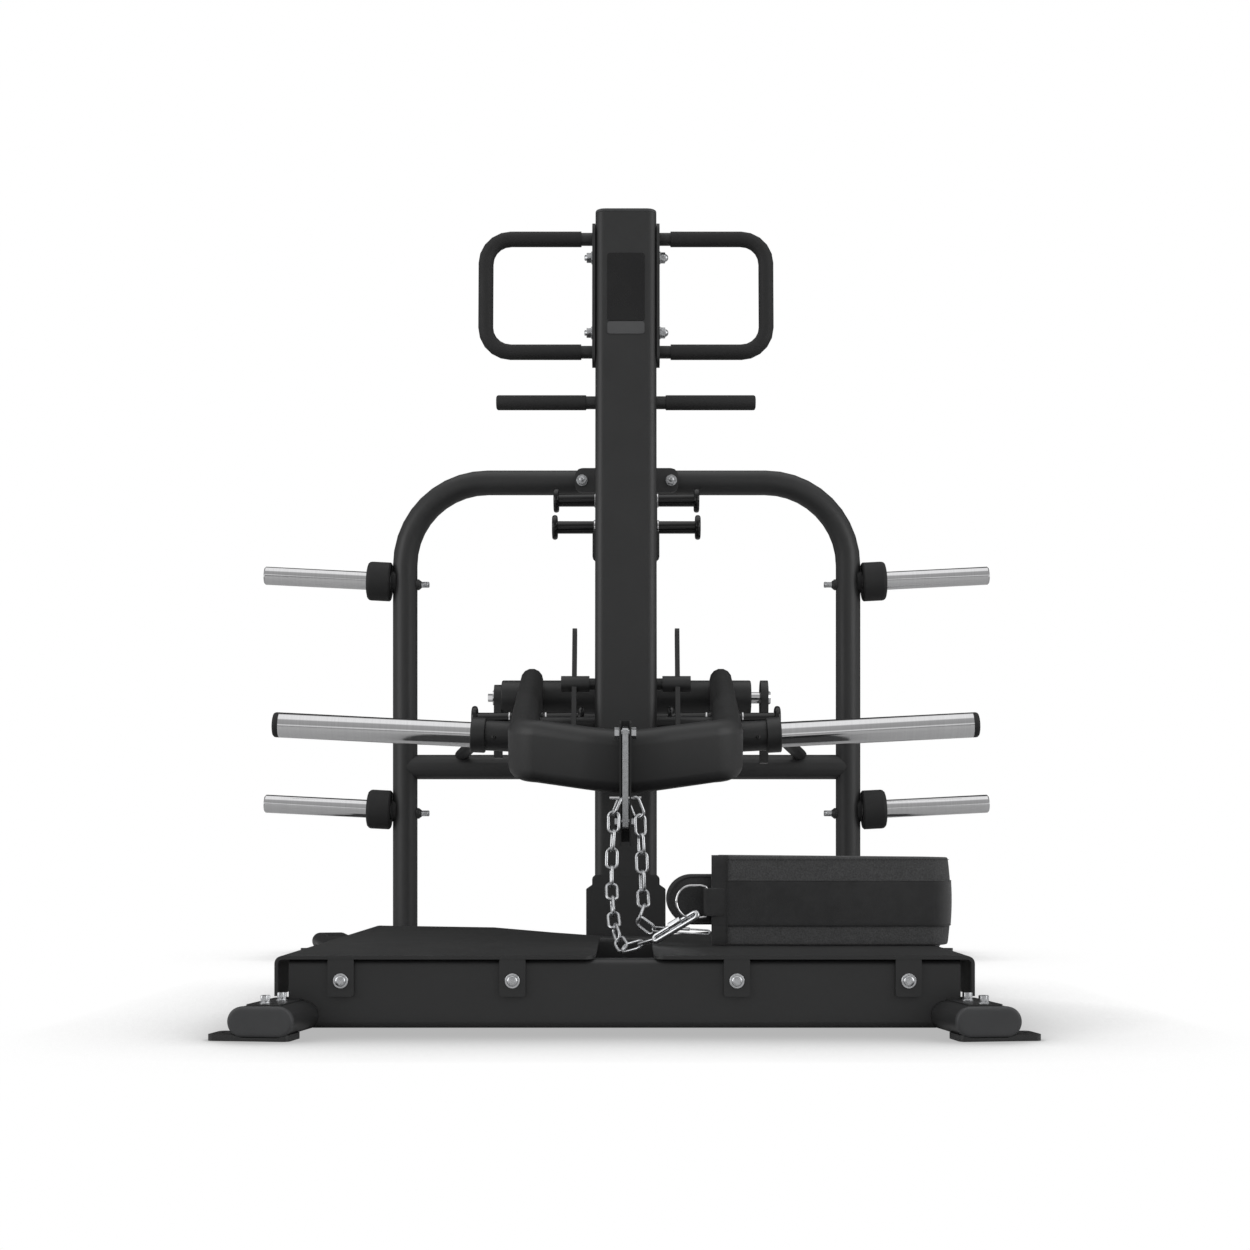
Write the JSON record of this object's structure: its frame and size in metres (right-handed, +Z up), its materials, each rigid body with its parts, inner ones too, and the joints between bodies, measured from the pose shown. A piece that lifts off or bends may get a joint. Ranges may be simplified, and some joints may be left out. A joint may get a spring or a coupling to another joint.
{
  "type": "belt squat machine",
  "caption": "Plate-loaded belt squat machine: post with handles, rear arch with storage horns, swinging lever, lockout catch, chain, belt and split platform.",
  "frame": {"origin": "on the floor, midway between the ends of the front and rear feet, on the machine's mid plane", "axes": "+X to the right as seen by someone facing the machine's post from the platform, +Y from the platform to the rear arch, +Z up"},
  "size_m": [1.766, 2.3276, 1.5251],
  "materials": {
    "frame_paint": "satin",
    "end_cap": "satin",
    "rubber": "matte",
    "peg_gloss": "gloss",
    "chrome": "polished",
    "zinc": "satin",
    "belt_fabric": "matte"
  },
  "bodies": {
    "root": {"front_beam": "frame_paint", "spine": "frame_paint", "rear_beam": "frame_paint", "platform_beam": "frame_paint", "front_foot_left": "frame_paint", "front_foot_right": "frame_paint", "rear_foot_left": "frame_paint", "rear_foot_right": "frame_paint", "footplate_left": "frame_paint", "footplate_right": "frame_paint", "post_socket": "frame_paint", "post": "frame_paint", "handle_left": "frame_paint", "handle_right": "frame_paint", "low_bar": "frame_paint", "arch": "frame_paint", "arch_tie": "frame_paint", "top_beam": "frame_paint", "column": "frame_paint", "pivot_yoke": "frame_paint", "front_foot_left_cap": "end_cap", "front_foot_right_cap": "end_cap", "rear_foot_left_cap": "end_cap", "rear_foot_right_cap": "end_cap", "post_cap": "end_cap", "grip_left": "rubber", "grip_right": "rubber", "low_grip_left": "rubber", "low_grip_right": "rubber", "bumper_low_left": "rubber", "bumper_low_right": "rubber", "bumper_high_left": "rubber", "bumper_high_right": "rubber", "storage_horn_low_left": "chrome", "storage_horn_low_right": "chrome", "storage_horn_high_left": "chrome", "storage_horn_high_right": "chrome", "band_peg_front": "peg_gloss", "band_peg_rear": "peg_gloss", "pivot_shaft": "chrome"},
    "lever": {"lever": "frame_paint", "pivot_housing": "frame_paint", "lever_tie": "frame_paint", "chain_bracket": "frame_paint", "lever_peg_left": "peg_gloss", "lever_peg_right": "peg_gloss", "lever_horn_left": "chrome", "lever_horn_right": "chrome", "chain_pin": "chrome", "lever_horn_cap_left": "rubber", "lever_horn_cap_right": "rubber", "link_bar": "zinc", "chain_left": "zinc", "chain_right": "zinc"},
    "catch": {"catch_shaft": "frame_paint", "catch_left": "frame_paint", "catch_right": "frame_paint"},
    "belt": {"belt": "belt_fabric"}
  },
  "joints": [
    {"name": "lever_swing", "type": "hinge", "parent": "root", "child": "lever", "pos_m": [0, 0.4, 0.6007], "axis": [1, 0, 0], "range_deg": [-8, 12], "deforming": ["chain_left", "chain_right"]},
    {"name": "catch_swing", "type": "hinge", "parent": "root", "child": "catch", "pos_m": [0, -0.1, 0.588], "axis": [1, 0, 0], "range_deg": [-15, 20]},
    {"name": "belt_lift", "type": "slide", "parent": "root", "child": "belt", "axis": [0, 0, 1], "range_m": [0, 0.25]}
  ]
}
